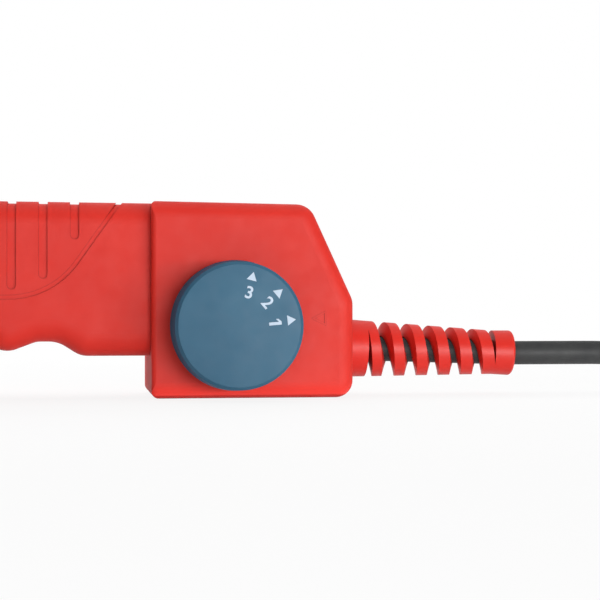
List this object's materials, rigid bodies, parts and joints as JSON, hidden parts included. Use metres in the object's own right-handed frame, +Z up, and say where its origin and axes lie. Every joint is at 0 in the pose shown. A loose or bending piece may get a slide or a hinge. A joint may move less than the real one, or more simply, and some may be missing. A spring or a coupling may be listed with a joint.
{
  "type": "pipe fusion welder",
  "caption": "Hand held pipe fusion welder with a finger-grooved grip, a control box with a selector dial, a heating blade with socket and spigot dies, and a mains lead in a hank.",
  "frame": {"origin": "on the floor under the dial's axis, in the plane where the two casing halves meet", "axes": "+X from the heating blade towards the mains lead, +Z up, and the dial on the -Y side"},
  "size_m": [0.6492, 0.0897, 0.06],
  "materials": {
    "casing": "fine satin moulding",
    "knob": "satin moulding",
    "relief": "glossy flexible moulding",
    "cord": "matte sheath",
    "plug": "matte moulding",
    "tie": "woven strap",
    "plated_pin": "nickel plated",
    "steel": "zinc plated",
    "die_bolt_steel": "black oxide",
    "stainless": "brushed",
    "blade": "machined",
    "die_coat": "dark non-stick coat",
    "switch": "moulded",
    "shaft": "moulded",
    "terminal": "moulded",
    "earth_wire": "wire insulation",
    "neutral_wire": "wire insulation",
    "live_wire": "wire insulation",
    "board": "glass fibre laminate",
    "relay_case": "moulded",
    "triac_case": "moulded",
    "can": "drawn can",
    "heatsink": "extruded",
    "insulator": "phenolic laminate",
    "fibre_sleeve": "glass fibre braid",
    "lug": "stamped",
    "red_lens": "clear red lens",
    "green_lens": "clear green lens"
  },
  "bodies": {
    "tool": {"left_shell": "casing", "right_shell": "casing", "strain_relief": "relief", "cord_inlet": "cord", "power_cord": "cord", "cord_coil": "cord", "cord_tail": "cord", "plug_body": "plug", "coil_tie": "tie", "plug_pins": "plated_pin", "plug_earth_strips": "plated_pin", "shell_screws": "steel", "selector_washer": "steel", "selector_nut": "steel", "cord_clamp_screws": "steel", "board_screws": "steel", "neck_bolts": "steel", "neck_nuts": "steel", "blade_bolts": "steel", "blade_nuts": "steel", "shield_screws": "steel", "earth_screw": "steel", "die_bolt": "die_bolt_steel", "neck_bar_left": "stainless", "neck_bar_right": "stainless", "heat_shield": "stainless", "heater_cartridges": "stainless", "temperature_sensor": "stainless", "heating_blade": "blade", "socket_die": "die_coat", "spigot_die": "die_coat", "selector_switch": "switch", "cord_clamp": "switch", "mains_terminal": "terminal", "heater_terminal": "terminal", "earth_core": "earth_wire", "earth_lead": "earth_wire", "neutral_core": "neutral_wire", "live_core": "live_wire", "control_board": "board", "relay": "relay_case", "triac": "triac_case", "capacitor": "can", "triac_heatsink": "heatsink", "neck_block": "insulator", "insulator_pads": "insulator", "heater_leads": "fibre_sleeve", "sensor_lead": "fibre_sleeve", "earth_lug": "lug", "power_lamp": "red_lens", "ready_lamp": "green_lens"},
    "dial": {"dial_knob": "knob", "selector_shaft": "shaft"}
  },
  "joints": [
    {"name": "dial_turn", "type": "hinge", "parent": "tool", "child": "dial", "pos_m": [0, -0.022, 0.0212], "axis": [0, 1, 0], "range_deg": [0, 68]}
  ]
}
